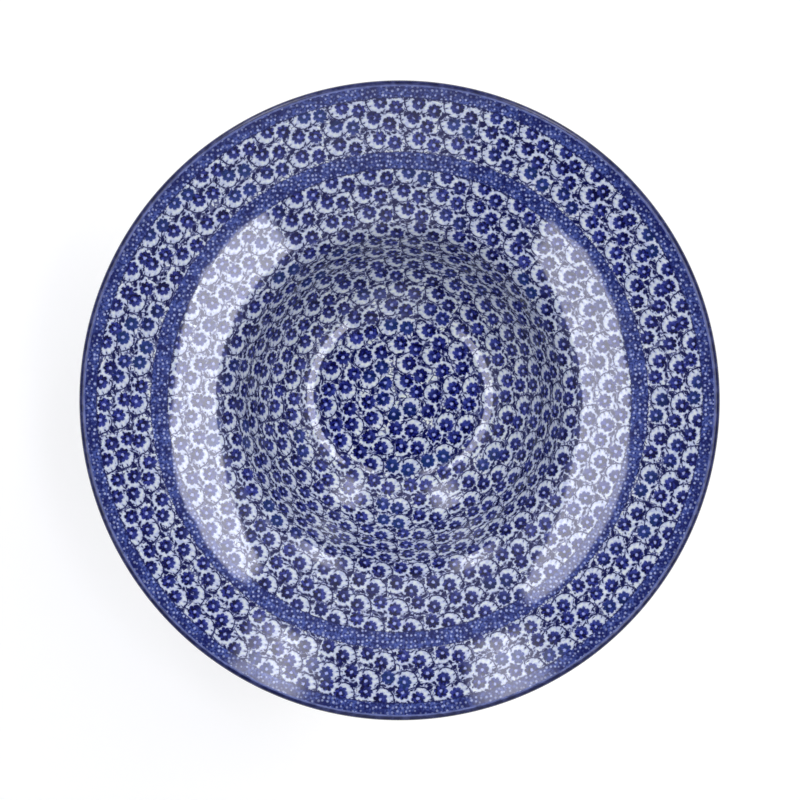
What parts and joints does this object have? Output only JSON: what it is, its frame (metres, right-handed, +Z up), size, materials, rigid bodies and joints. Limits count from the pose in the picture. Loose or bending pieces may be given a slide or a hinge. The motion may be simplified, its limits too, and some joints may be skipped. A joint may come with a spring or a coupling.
{
  "type": "wide-rimmed serving bowl",
  "caption": "Round wide-rimmed stoneware serving bowl with a deep well, a foot ring, a cobalt lip and stamped blue flower bands under clear glaze.",
  "frame": {"origin": "centre of the foot ring's bearing face, on the surface the bowl stands on", "axes": "+Z up along the bowl's axis of revolution; X and Y are level and alike"},
  "size_m": [0.3, 0.3, 0.066],
  "materials": {
    "biscuit": "bare fired stoneware, matt",
    "cobalt_lip": "dark cobalt glaze, glossy",
    "dotted_blue": "mid blue with white dots under clear gloss glaze",
    "flower_blue": "dark blue stamped flowers on off-white under clear gloss glaze",
    "plain_glaze": "plain off-white gloss glaze"
  },
  "bodies": {
    "root": {"stoneware_body": "biscuit", "foot_ring": "biscuit", "lip_band": "cobalt_lip", "rim_dot_band": "dotted_blue", "rim_flower_band": "flower_blue", "middle_dot_band": "dotted_blue", "well_flower_field": "flower_blue", "underside_glaze": "plain_glaze", "foot_recess_glaze": "plain_glaze"}
  },
  "joints": []
}
